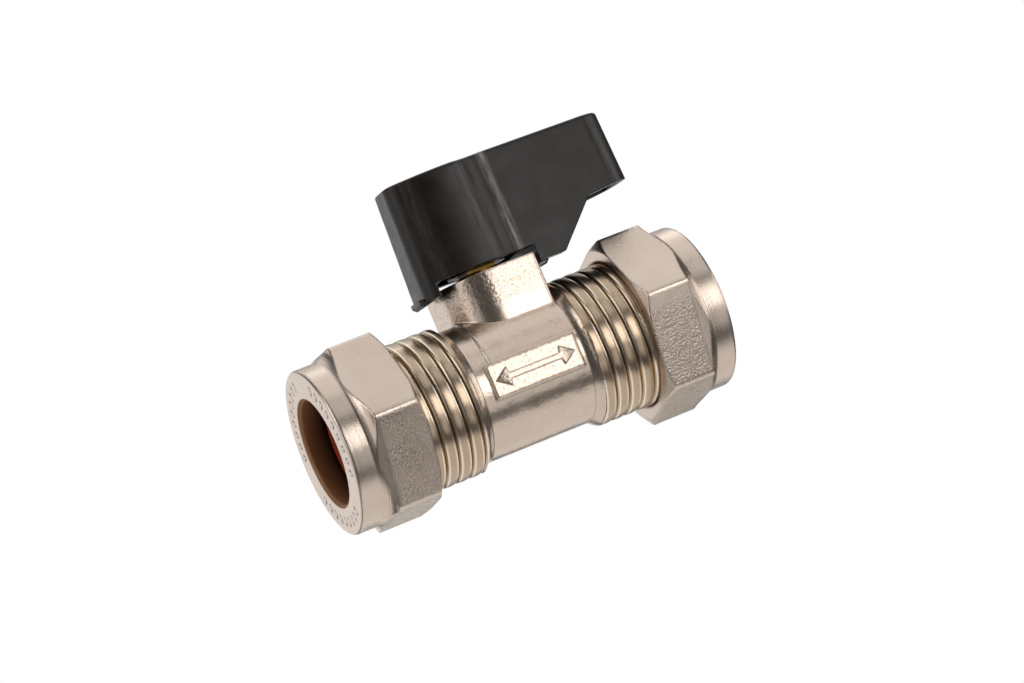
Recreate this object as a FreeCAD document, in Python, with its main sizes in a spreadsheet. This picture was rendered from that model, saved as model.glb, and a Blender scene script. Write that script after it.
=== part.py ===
import FreeCAD, Part
import math
import os
import Sketcher

# Isolating ball valve for 15 mm pipe, with a compression nut on each end and a moulded lever.
# X runs along the pipe, Z up the spindle. The origin is where the left pipe's end meets its stop.

DIMENSIONS = {
    # Pipe and socket
    "pipe_od": 15.0,
    "pipe_clearance": 0.1,
    "face_to_face": 58.8,
    "spindle_shift": 1.3,
    # Body barrel and spigots
    "barrel_dia": 19.44,
    "barrel_half": 9.25,
    "barrel_flare_len": 1.3,
    "barrel_flare_rise": 0.15,
    "spigot_half": 20.9,
    "thread_major_dia": 21.5,
    "thread_minor_dia": 20.1,
    "spigot_lead": 0.8,
    "olive_cone_len": 1.8,
    "olive_cone_rise": 1.3,
    # Boss under the lever
    "boss_width": 13.4,
    "boss_above_gland_floor": 4.3,
    "boss_edge_round": 0.6,
    # Shallow land between the boss and the raised flat
    "land_rise": 0.25,
    "land_sweep": 76.0,
    # Raised flat on the front of the barrel
    "pad_left": 7.7,
    "pad_right": 6.1,
    "pad_height": 5.0,
    "pad_rise": 0.28,
    "pad_edge": 0.25,
    # Ball and seats
    "ball_dia": 13.2,
    "ball_bore": 9.2,
    "ball_slot_floor": 5.2,
    "ball_slot_width": 3.0,
    "ball_clearance": 0.3,
    "seat_reach": 6.2,
    "seat_depth": 2.9,
    "seat_bore": 9.6,
    "seat_running_gap": 0.03,
    "seat_side_gap": 0.1,
    "retainer_dia": 14.7,
    "retainer_len": 3.2,
    "retainer_slot_width": 1.6,
    "retainer_slot_depth": 1.2,
    "thread_fit_gap": 0.05,
    "stop_wall": 2.8,
    # Spindle and gland
    "spindle_dia": 6.3,
    "spindle_running_gap": 0.05,
    "spindle_collar_dia": 8.8,
    "spindle_collar_height": 1.2,
    "spindle_top_dia": 6.4,
    "shoulder_above_boss": 0.6,
    "spindle_square": 4.4,
    "spindle_square_height": 9.0,
    "tang_gap": 0.1,
    "tang_length": 4.6,
    "ball_top_gap": 0.2,
    "gland_floor_land": 0.55,
    "gland_dia": 9.4,
    "gland_slot_width": 1.4,
    "gland_slot_depth": 1.0,
    "washer_thick": 0.5,
    "ring_section": 0.84,
    "ring_groove_height": 1.1,
    "ring_groove_dia": 4.6,
    "ring_above_foot": 1.1,
    "ring_pitch": 1.7,
    # Lever
    "tab_gap": 1.05,
    "hook_gap": 0.5,
    "lever_back": 9.67,
    "lever_tip": 25.5,
    "lever_height": 15.8,
    "lever_top_fall": 0.12,
    "lever_boss_gap": 1.0,
    "tab_drop": 0.95,
    "hook_drop": 1.75,
    "hook_end": 8.3,
    "skirt_drop": 1.4,
    "skirt_end": 11.4,
    "paddle_start": 18.0,
    "paddle_rise": 4.8,
    "paddle_tip_rise": 5.4,
    "heel_half": 2.4,
    "lever_draft": 0.6,
    "heel_lean": 0.58,
    "tip_lean": 0.5,
    "nib_reach": 0.6,
    "nib_drop": 0.45,
    "nib_height": 1.1,
    "nib_width": 4.4,
    "ridge_back": 0.7,
    "ridge_back_half": 6.9,
    "ridge_front": 5.1,
    "ridge_front_half": 6.3,
    "scoop_round": 5.5,
    "paddle_half": 5.2,
    "tip_round": 3.8,
    "heel_round": 2.6,
    "lever_edge_round": 0.45,
    "lever_wall": 1.7,
    "lever_roof": 2.4,
    "socket_post_dia": 8.6,
    "square_gap": 0.06,
    "screw_web": 1.6,
    # Lever screw
    "screw_dia": 2.9,
    "screw_length": 8.0,
    "screw_hole_gap": 0.05,
    "screw_way_gap": 0.25,
    "screw_head_dia": 5.6,
    "screw_head_height": 2.0,
    "screw_recess_gap": 0.35,
    "screw_tip_room": 0.8,
    "cross_length": 3.0,
    "cross_width": 0.8,
    "cross_depth": 1.2,
    # Compression nut
    "nut_across_flats": 24.5,
    "nut_length": 11.8,
    "nut_collar_dia": 24.1,
    "nut_collar_len": 3.1,
    "nut_flare_len": 1.6,
    "nut_flare_round": 2.4,
    "nut_rim_round": 0.4,
    "nut_chamfer_len": 0.85,
    "nut_chamfer_drop": 1.5,
    "nut_corner_round": 1.0,
    "nut_wall": 3.4,
    "nut_bore_edge": 0.45,
    "nut_thread_gap": 0.12,
    "nut_mouth_len": 0.3,
    "left_nut_turn": 6.1,
    "right_nut_turn": 13.8,
    # Compression ring
    "olive_thick": 1.15,
    "olive_end_thick": 0.25,
    "olive_gap": 0.1,
}

doc = FreeCAD.newDocument("isolating_valve")
sheet = doc.addObject("Spreadsheet::Sheet", "dims")
for row, (alias, number) in enumerate(DIMENSIONS.items(), start=1):
    sheet.set(f"A{row}", alias)
    sheet.set(f"B{row}", str(number))
    sheet.setAlias(f"B{row}", alias)
doc.recompute()


class Size:
    """A length that knows both its value and the expression that binds it to the sheet."""

    def __init__(self, text, value):
        self.text = text
        self.value = value

    def join(self, other, sign, value):
        return Size(f"({self.text} {sign} {as_size(other).text})", value)

    def __add__(self, other):
        return self.join(other, "+", self.value + as_size(other).value)

    def __sub__(self, other):
        return self.join(other, "-", self.value - as_size(other).value)

    def __mul__(self, other):
        return self.join(other, "*", self.value * as_size(other).value)

    def __truediv__(self, other):
        return self.join(other, "/", self.value / as_size(other).value)

    def __neg__(self):
        return Size(f"(-1 * {self.text})", -self.value)


def as_size(number):
    return number if isinstance(number, Size) else Size(repr(number), float(number))


def dim(alias):
    return Size(f"dims.{alias}", float(DIMENSIONS[alias]))


def root(size):
    return Size(f"sqrt({size.text})", math.sqrt(size.value))


def leg(long_side, short_side):
    """The other leg of a right triangle."""
    return root(long_side * long_side - short_side * short_side)


ZERO = as_size(0)

# Shared places along the pipe, measured from the spindle axis
SOCKET_R = dim("pipe_od") / 2 + dim("pipe_clearance")
LEFT_END = dim("spigot_half") + dim("spindle_shift")
RIGHT_END = dim("spigot_half") - dim("spindle_shift")
LEFT_SHOULDER = dim("barrel_half") + dim("spindle_shift")
RIGHT_SHOULDER = dim("barrel_half") - dim("spindle_shift")
CHAMBER_R = dim("ball_dia") / 2 + dim("ball_clearance")
CONE_R = SOCKET_R + dim("olive_cone_rise")
RETAINER_R = dim("retainer_dia") / 2
LEFT_STOP = dim("seat_reach") + dim("retainer_len")
RIGHT_STOP = dim("seat_reach") + dim("stop_wall")
SPINDLE_X = LEFT_STOP
LEFT_NUT_X = SPINDLE_X - dim("spindle_shift") - dim("face_to_face") / 2
RIGHT_NUT_X = LEFT_NUT_X + dim("face_to_face")
NUT_TO_BODY = dim("face_to_face") / 2 - dim("spigot_half")

# Shared heights on the spindle axis
SPINDLE_R = dim("spindle_dia") / 2
SPINDLE_BORE_R = SPINDLE_R + dim("spindle_running_gap")
SPINDLE_FOOT = dim("ball_dia") / 2 + dim("ball_top_gap")
RING_LOW = SPINDLE_FOOT + dim("ring_above_foot")
RING_HIGH = RING_LOW + dim("ring_pitch")
GLAND_FLOOR = RING_HIGH + dim("ring_groove_height") / 2 + dim("gland_floor_land")
BOSS_TOP = GLAND_FLOOR + dim("boss_above_gland_floor")
GLAND_BORE_R = dim("gland_dia") / 2 + dim("thread_fit_gap")
COLLAR_FLOOR = GLAND_FLOOR + dim("washer_thick")
COLLAR_TOP = COLLAR_FLOOR + dim("spindle_collar_height")
SPINDLE_SHOULDER = BOSS_TOP + dim("shoulder_above_boss")
SPINDLE_TIP = SPINDLE_SHOULDER + dim("spindle_square_height")
SCREW_SEAT = SPINDLE_TIP + dim("screw_web")
LEVER_FLOOR = BOSS_TOP + dim("lever_boss_gap")
LEVER_TOP_TIP = BOSS_TOP + dim("lever_height")
LEVER_TOP_BACK = LEVER_TOP_TIP + dim("lever_top_fall")
ROOF_FLOOR = LEVER_TOP_TIP - dim("lever_roof")
HOOK_BOTTOM = BOSS_TOP - dim("hook_drop")
SKIRT_BOTTOM = BOSS_TOP - dim("skirt_drop")
TAB_BOTTOM = BOSS_TOP - dim("tab_drop")
PAD_FACE = dim("barrel_dia") / 2 + dim("pad_rise")


def new_body(label, place=None, turn=None):
    """A body whose origin lies on the pipe axis, turned about that axis."""
    body = doc.addObject("PartDesign::Body", label)
    body.Label = label
    body.Placement = FreeCAD.Placement(FreeCAD.Vector(), FreeCAD.Rotation(FreeCAD.Vector(1, 0, 0), 0))
    if place is not None:
        body.setExpression("Placement.Base.x", place.text)
    if turn is not None:
        body.Placement.Rotation = FreeCAD.Rotation(FreeCAD.Vector(-1, 0, 0), turn.value)
        body.setExpression("Placement.Rotation.Angle", turn.text)
    return body


def pin(sketch, geometry, point, x, y):
    """Hold a point at its distances from the sketch origin."""
    for kind, axis, size in (("DistanceX", -2, x), ("DistanceY", -1, y)):
        if size is ZERO:
            sketch.addConstraint(Sketcher.Constraint("PointOnObject", geometry, point, axis))
        else:
            at = sketch.addConstraint(Sketcher.Constraint(kind, -1, 1, geometry, point, size.value))
            sketch.setExpression(f"Constraints[{at}]", size.text)


def hold_radius(sketch, geometry, radius):
    at = sketch.addConstraint(Sketcher.Constraint("Radius", geometry, radius.value))
    sketch.setExpression(f"Constraints[{at}]", radius.text)


def arc_between(start, end, radius, bend):
    """A circular arc from start to end; bend +1 turns left on the way, -1 turns right."""
    chord = end - start
    side = FreeCAD.Vector(-chord.y, chord.x, 0).normalize()
    height = math.sqrt(max(radius ** 2 - (chord.Length / 2) ** 2, 0))
    centre = (start + end) / 2 + side * height * bend
    first, last = (start, end) if bend > 0 else (end, start)
    angles = [math.atan2(p.y - centre.y, p.x - centre.x) for p in (first, last)]
    circle = Part.Circle(centre, FreeCAD.Vector(0, 0, 1), radius)
    return Part.ArcOfCircle(circle, angles[0], angles[1])


def draw_loop(sketch, corners):
    """Close a loop of (x, y) corners; a third and fourth entry make the next side an arc."""
    ends = []
    spots = [FreeCAD.Vector(c[0].value, c[1].value, 0) for c in corners]
    for index, corner in enumerate(corners):
        start, end = spots[index], spots[(index + 1) % len(spots)]
        if len(corner) == 2:
            side = sketch.addGeometry(Part.LineSegment(start, end))
            ends.append((side, 1, 2))
        else:
            radius, bend = corner[2], corner[3]
            side = sketch.addGeometry(arc_between(start, end, radius.value, bend))
            ends.append((side, 1, 2) if bend > 0 else (side, 2, 1))
            hold_radius(sketch, side, radius)
    for index, (side, first, last) in enumerate(ends):
        following, head, _ = ends[(index + 1) % len(ends)]
        sketch.addConstraint(Sketcher.Constraint("Coincident", side, last, following, head))
        pin(sketch, side, first, corners[index][0], corners[index][1])


def draw_circle(sketch, x, y, radius):
    centre = FreeCAD.Vector(x.value, y.value, 0)
    ring = sketch.addGeometry(Part.Circle(centre, FreeCAD.Vector(0, 0, 1), radius.value))
    pin(sketch, ring, 3, x, y)
    hold_radius(sketch, ring, radius)


def new_sketch(body, name, role, lift=None):
    sketch = body.newObject("Sketcher::SketchObject", f"{body.Label}_{name}_sketch")
    plane = [f for f in body.Origin.OriginFeatures if f.Role == role][0]
    sketch.AttachmentSupport = [(plane, "")]
    sketch.MapMode = "FlatFace"
    if lift is not None:
        sketch.setExpression("AttachmentOffset.Base.z", lift.text)
    return sketch


def rectangle(width, height, x=ZERO, y=ZERO):
    """Corners of a rectangle centred on (x, y)."""
    half_w, half_h = width / 2, height / 2
    return [
        (x - half_w, y - half_h),
        (x + half_w, y - half_h),
        (x + half_w, y + half_h),
        (x - half_w, y + half_h),
    ]


def turned(body, name, corners, axis="H_Axis", cut=False):
    """Revolve a profile drawn on the XZ plane about the pipe (H) or spindle (V) axis."""
    sketch = new_sketch(body, name, "XZ_Plane")
    draw_loop(sketch, corners)
    kind = "PartDesign::Groove" if cut else "PartDesign::Revolution"
    feature = body.newObject(kind, f"{body.Label}_{name}")
    feature.Profile = sketch
    feature.ReferenceAxis = (sketch, [axis])
    feature.Angle = 360.0
    doc.recompute()
    return feature


def raised(body, name, role, loops, length, lift=None, cut=False, flip=False, both=False):
    """Pad or pocket loops of corners, or (x, y, radius) circles, drawn on an origin plane."""
    sketch = new_sketch(body, name, role, lift)
    for loop in loops:
        if isinstance(loop, tuple):
            draw_circle(sketch, *loop)
        else:
            draw_loop(sketch, loop)
    kind = "PartDesign::Pocket" if cut else "PartDesign::Pad"
    feature = body.newObject(kind, f"{body.Label}_{name}")
    feature.Profile = sketch
    feature.Type = "Length"
    feature.setExpression("Length", length.text)
    feature.Reversed = flip
    feature.SideType = "Symmetric" if both else "One side"
    doc.recompute()
    return feature


def dressed(body, kind, name, size, choose):
    """Round or chamfer the edges of the tip that the choose function picks."""
    base = body.Tip
    picked = [f"Edge{i}" for i, edge in enumerate(base.Shape.Edges, start=1) if choose(edge)]
    feature = body.newObject(f"PartDesign::{kind}", f"{body.Label}_{name}")
    feature.Base = (base, picked)
    feature.setExpression("Radius" if kind == "Fillet" else "Size", size.text)
    doc.recompute()
    return feature


def runs_along(edge, axis):
    """True for a straight edge parallel to the axis vector."""
    if edge.Curve.TypeId != "Part::GeomLine":
        return False
    return edge.Curve.Direction.cross(axis).Length < 1e-6


def near(value, size):
    return abs(value - size.value) < 0.01


def build_valve_body():
    body = new_body("valve_body", SPINDLE_X)
    barrel_r = dim("barrel_dia") / 2
    flare_r = barrel_r + dim("barrel_flare_rise")
    minor_r = dim("thread_minor_dia") / 2
    lead_r = minor_r - dim("spigot_lead") / 2
    turned(body, "barrel", [
        (-LEFT_END, ZERO),
        (-LEFT_END, lead_r),
        (-LEFT_END + dim("spigot_lead"), minor_r),
        (-LEFT_SHOULDER, minor_r),
        (-LEFT_SHOULDER, flare_r),
        (-LEFT_SHOULDER + dim("barrel_flare_len"), barrel_r),
        (RIGHT_SHOULDER - dim("barrel_flare_len"), barrel_r),
        (RIGHT_SHOULDER, flare_r),
        (RIGHT_SHOULDER, minor_r),
        (RIGHT_END - dim("spigot_lead"), minor_r),
        (RIGHT_END, lead_r),
        (RIGHT_END, ZERO),
    ])
    # Square boss with two opposite corners turned round, so the lever can sweep a quarter turn
    half = dim("boss_width") / 2
    raised(body, "boss", "XY_Plane", [[
        (ZERO, -half),
        (half, -half),
        (half, ZERO, half, 1),
        (ZERO, half),
        (-half, half),
        (-half, ZERO, half, 1),
    ]], BOSS_TOP)
    upright = FreeCAD.Vector(0, 0, 1)
    dressed(body, "Fillet", "boss_corners", dim("boss_edge_round"), lambda edge: (
        runs_along(edge, upright)
        and near(abs(edge.CenterOfMass.x), half)
        and near(abs(edge.CenterOfMass.y), half)
    ))
    # Shallow land on the barrel, from under the boss down to the raised flat
    land = turned(body, "land", [
        (-half, barrel_r - dim("land_rise")),
        (half, barrel_r - dim("land_rise")),
        (half, barrel_r + dim("land_rise")),
        (-half, barrel_r + dim("land_rise")),
    ])
    land.setExpression("Angle", dim("land_sweep").text)
    doc.recompute()
    # Raised flat on the front of the barrel
    pad_width = dim("pad_left") + dim("pad_right")
    pad_middle = (dim("pad_right") - dim("pad_left")) / 2
    raised(body, "label_pad", "XZ_Plane", [rectangle(pad_width, dim("pad_height"), pad_middle)], PAD_FACE)
    dressed(body, "Chamfer", "label_pad_edge", dim("pad_edge"), lambda edge: (
        near(edge.BoundBox.YMin, -PAD_FACE) and near(edge.BoundBox.YMax, -PAD_FACE)
    ))
    # Waterway from end to end: olive cones, pipe sockets, seat chamber and retainer bore
    seat_bore_r = dim("seat_bore") / 2
    retainer_bore_r = RETAINER_R + dim("thread_fit_gap")
    turned(body, "waterway", [
        (-LEFT_END, ZERO),
        (-LEFT_END, CONE_R),
        (-LEFT_END + dim("olive_cone_len"), SOCKET_R),
        (-LEFT_STOP, SOCKET_R),
        (-LEFT_STOP, retainer_bore_r),
        (-dim("seat_reach"), retainer_bore_r),
        (-dim("seat_reach"), CHAMBER_R),
        (dim("seat_reach"), CHAMBER_R),
        (dim("seat_reach"), seat_bore_r),
        (RIGHT_STOP, seat_bore_r),
        (RIGHT_STOP, SOCKET_R),
        (RIGHT_END - dim("olive_cone_len"), SOCKET_R),
        (RIGHT_END, CONE_R),
        (RIGHT_END, ZERO),
    ], cut=True)
    # Spindle bore and gland bore down the boss
    turned(body, "spindle_way", [
        (ZERO, ZERO),
        (SPINDLE_BORE_R, ZERO),
        (SPINDLE_BORE_R, GLAND_FLOOR),
        (GLAND_BORE_R, GLAND_FLOOR),
        (GLAND_BORE_R, BOSS_TOP),
        (ZERO, BOSS_TOP),
    ], axis="V_Axis", cut=True)
    return body


def build_nut(label, side, place, turn):
    """Hexagon nut turned down to a round collar; its outer face is at the local origin."""
    body = new_body(label, place, turn)
    flats = dim("nut_across_flats") / 2
    corner = dim("nut_across_flats") / math.sqrt(3)
    hexagon = [
        (-corner, ZERO), (-corner / 2, -flats), (corner / 2, -flats),
        (corner, ZERO), (corner / 2, flats), (-corner / 2, flats),
    ]
    raised(body, "hexagon", "YZ_Plane", [hexagon], dim("nut_length"), flip=side < 0)
    along = FreeCAD.Vector(1, 0, 0)
    dressed(body, "Fillet", "hexagon_corners", dim("nut_corner_round"), lambda edge: runs_along(edge, along))

    def at(distance):
        return distance if side > 0 else -distance

    clear_r = dim("nut_across_flats")
    collar_r = dim("nut_collar_dia") / 2
    flare_end = dim("nut_collar_len") + dim("nut_flare_len")
    # Collar turned from the hexagon, with a rounded rim and a hollow flare up to the corners
    turned(body, "collar", [
        (ZERO, collar_r - dim("nut_rim_round"), dim("nut_rim_round"), -side),
        (at(dim("nut_rim_round")), collar_r),
        (at(dim("nut_collar_len")), collar_r, dim("nut_flare_round"), side),
        (at(flare_end), corner),
        (at(flare_end), clear_r),
        (ZERO, clear_r),
    ], cut=True)
    chamfer_start = dim("nut_length") - dim("nut_chamfer_len")
    turned(body, "thread_side_chamfer", [
        (at(chamfer_start), corner),
        (at(dim("nut_length")), corner - dim("nut_chamfer_drop")),
        (at(dim("nut_length")), clear_r),
        (at(chamfer_start), clear_r),
    ], cut=True)
    # Pipe way, olive cone and thread bore
    thread_r = dim("thread_major_dia") / 2 + dim("nut_thread_gap")
    cone_end = dim("nut_wall") + dim("olive_cone_len")
    mouth = dim("nut_length") - dim("nut_mouth_len")
    turned(body, "bore", [
        (ZERO, ZERO),
        (ZERO, SOCKET_R + dim("nut_bore_edge")),
        (at(dim("nut_bore_edge")), SOCKET_R),
        (at(dim("nut_wall")), SOCKET_R),
        (at(cone_end), CONE_R),
        (at(cone_end), thread_r),
        (at(mouth), thread_r),
        (at(dim("nut_length")), thread_r + dim("nut_mouth_len")),
        (at(dim("nut_length")), ZERO),
    ], cut=True)
    return body


def build_olive(label, side, place):
    """Compression ring between the nut's cone and the body's cone."""
    body = new_body(label, place)
    thick_r = SOCKET_R + dim("olive_thick")
    end_r = SOCKET_R + dim("olive_end_thick")
    slope = dim("olive_cone_len") / dim("olive_cone_rise")
    end_offset = dim("olive_end_thick") * slope + dim("olive_gap")
    shoulder = (dim("olive_thick") - dim("olive_end_thick")) * slope
    first = dim("nut_wall") + end_offset
    last = NUT_TO_BODY + dim("olive_cone_len") - end_offset

    def at(distance):
        return distance if side > 0 else -distance

    turned(body, "ring", [
        (at(first), SOCKET_R),
        (at(first), end_r),
        (at(first + shoulder), thick_r),
        (at(last - shoulder), thick_r),
        (at(last), end_r),
        (at(last), SOCKET_R),
    ])
    return body


def build_ball():
    body = new_body("ball", SPINDLE_X)
    ball_r = dim("ball_dia") / 2
    sphere = body.newObject("PartDesign::AdditiveSphere", "ball_sphere")
    sphere.setExpression("Radius", ball_r.text)
    doc.recompute()
    bore = (ZERO, ZERO, dim("ball_bore") / 2)
    raised(body, "bore", "YZ_Plane", [bore], dim("ball_dia"), cut=True, both=True)
    # Drive slot across the bore, so the closed ball can float against its seat
    slot = rectangle(dim("ball_slot_width"), dim("ball_dia"))
    raised(body, "slot", "XY_Plane", [slot], ball_r, lift=dim("ball_slot_floor"), cut=True, flip=True)
    return body


def build_seat(label, side):
    """Seat ring with a hollow face that the ball turns against."""
    body = new_body(label, SPINDLE_X)
    outer_r = CHAMBER_R - dim("seat_side_gap")
    bore_r = dim("seat_bore") / 2
    face_r = dim("ball_dia") / 2 + dim("seat_running_gap")
    inner = dim("seat_reach") - dim("seat_depth")

    def at(distance):
        return distance if side > 0 else -distance

    turned(body, "ring", [
        (at(dim("seat_reach")), bore_r),
        (at(dim("seat_reach")), outer_r),
        (at(inner), outer_r),
        (at(inner), leg(face_r, inner), face_r, -side),
        (at(leg(face_r, bore_r)), bore_r),
    ])
    return body


def build_retainer():
    """Slotted ring screwed in behind the left seat; its outer face stops the pipe."""
    body = new_body("seat_retainer", SPINDLE_X)
    bore_r = dim("seat_bore") / 2
    turned(body, "ring", [
        (-LEFT_STOP, bore_r),
        (-LEFT_STOP, RETAINER_R),
        (-dim("seat_reach"), RETAINER_R),
        (-dim("seat_reach"), bore_r),
    ])
    slot = rectangle(dim("retainer_dia"), dim("retainer_slot_width"))
    depth = dim("retainer_slot_depth")
    raised(body, "slots", "YZ_Plane", [slot], depth, lift=-LEFT_STOP, cut=True, flip=True)
    return body


def build_spindle():
    body = new_body("spindle", SPINDLE_X)
    collar_r = dim("spindle_collar_dia") / 2
    top_r = dim("spindle_top_dia") / 2
    groove_r = dim("ring_groove_dia") / 2
    half_groove = dim("ring_groove_height") / 2
    turned(body, "shaft", [
        (ZERO, SPINDLE_FOOT),
        (SPINDLE_R, SPINDLE_FOOT),
        (SPINDLE_R, RING_LOW - half_groove),
        (groove_r, RING_LOW - half_groove),
        (groove_r, RING_LOW + half_groove),
        (SPINDLE_R, RING_LOW + half_groove),
        (SPINDLE_R, RING_HIGH - half_groove),
        (groove_r, RING_HIGH - half_groove),
        (groove_r, RING_HIGH + half_groove),
        (SPINDLE_R, RING_HIGH + half_groove),
        (SPINDLE_R, COLLAR_FLOOR),
        (collar_r, COLLAR_FLOOR),
        (collar_r, COLLAR_TOP),
        (top_r, COLLAR_TOP),
        (top_r, SPINDLE_SHOULDER),
        (ZERO, SPINDLE_SHOULDER),
    ], axis="V_Axis")
    # Tang that drops into the ball's slot
    tang_floor = dim("ball_slot_floor") + dim("tang_gap")
    tang_width = dim("ball_slot_width") - dim("tang_gap") * 2
    tang = rectangle(tang_width, dim("tang_length"))
    raised(body, "tang", "XY_Plane", [tang], SPINDLE_FOOT - tang_floor, lift=tang_floor)
    # Square drive for the lever, tapped for its screw
    square = rectangle(dim("spindle_square"), dim("spindle_square"))
    drive_height = SPINDLE_TIP - SPINDLE_SHOULDER
    raised(body, "square", "XY_Plane", [square], drive_height, lift=SPINDLE_SHOULDER)
    hole_r = dim("screw_dia") / 2 + dim("screw_hole_gap")
    hole_depth = dim("screw_length") - dim("screw_web") + dim("screw_tip_room")
    hole = (ZERO, ZERO, hole_r)
    raised(body, "tapped_hole", "XY_Plane", [hole], hole_depth, lift=SPINDLE_TIP, cut=True)
    return body


def build_seal_ring(label, height):
    """Rubber ring in a spindle groove."""
    body = new_body(label, SPINDLE_X)
    section_r = dim("ring_section") / 2
    centre_r = (dim("ring_groove_dia") / 2 + SPINDLE_BORE_R) / 2
    sketch = new_sketch(body, "section", "XZ_Plane")
    draw_circle(sketch, centre_r, height, section_r)
    ring = body.newObject("PartDesign::Revolution", f"{label}_ring")
    ring.Profile = sketch
    ring.ReferenceAxis = (sketch, ["V_Axis"])
    ring.Angle = 360.0
    doc.recompute()
    return body


def build_washer():
    body = new_body("spindle_washer", SPINDLE_X)
    outer_r = dim("spindle_collar_dia") / 2
    hole = (ZERO, ZERO, SPINDLE_BORE_R)
    raised(body, "disc", "XY_Plane", [(ZERO, ZERO, outer_r), hole], dim("washer_thick"), lift=GLAND_FLOOR)
    return body


def build_gland():
    """Slotted gland nut that keeps the spindle down, flush with the boss."""
    body = new_body("gland_nut", SPINDLE_X)
    floor = COLLAR_TOP + dim("spindle_running_gap")
    hole_r = dim("spindle_top_dia") / 2 + dim("spindle_running_gap")
    disc = (ZERO, ZERO, dim("gland_dia") / 2)
    raised(body, "disc", "XY_Plane", [disc, (ZERO, ZERO, hole_r)], BOSS_TOP - floor, lift=floor)
    slot = rectangle(dim("gland_dia"), dim("gland_slot_width"))
    raised(body, "slots", "XY_Plane", [slot], dim("gland_slot_depth"), lift=BOSS_TOP, cut=True)
    return body


def lever_outline(share):
    """Plan of the lever: flat heel, round hub, finger scoop between two ridges, flat paddle.

    The share of its draft grows from 0 at the foot to 1 at the crown. The heel's corner round and
    the hub's long round meet without a crease.
    """
    inset = dim("lever_draft") * share
    heel = -dim("lever_back") + dim("heel_lean") * share
    tip = dim("lever_tip") - dim("tip_lean") * share
    corner_r = dim("heel_round")
    ridge_half = dim("ridge_back_half") - inset
    heel_half = dim("heel_half") - inset
    run = dim("ridge_back") - heel - corner_r
    rise = ridge_half - heel_half
    hub_r = (run * run + rise * rise - corner_r * corner_r) / (rise - corner_r) / 2
    meet_x = heel + corner_r - corner_r * run / (hub_r - corner_r)
    meet_half = heel_half + corner_r * (hub_r - rise) / (hub_r - corner_r)
    front_half = dim("ridge_front_half") - inset
    paddle_half = dim("paddle_half") - inset
    tip_start = tip - dim("tip_round")
    tip_half = paddle_half - dim("tip_round")
    return [
        (heel, -heel_half, corner_r, 1),
        (meet_x, -meet_half, hub_r, 1),
        (dim("ridge_back"), -ridge_half, dim("scoop_round"), -1),
        (dim("ridge_front"), -front_half),
        (tip_start, -paddle_half, dim("tip_round"), 1),
        (tip, -tip_half),
        (tip, tip_half, dim("tip_round"), 1),
        (tip_start, paddle_half),
        (dim("ridge_front"), front_half, dim("scoop_round"), -1),
        (dim("ridge_back"), ridge_half, hub_r, 1),
        (meet_x, meet_half, corner_r, 1),
        (heel, heel_half),
    ]


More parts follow.
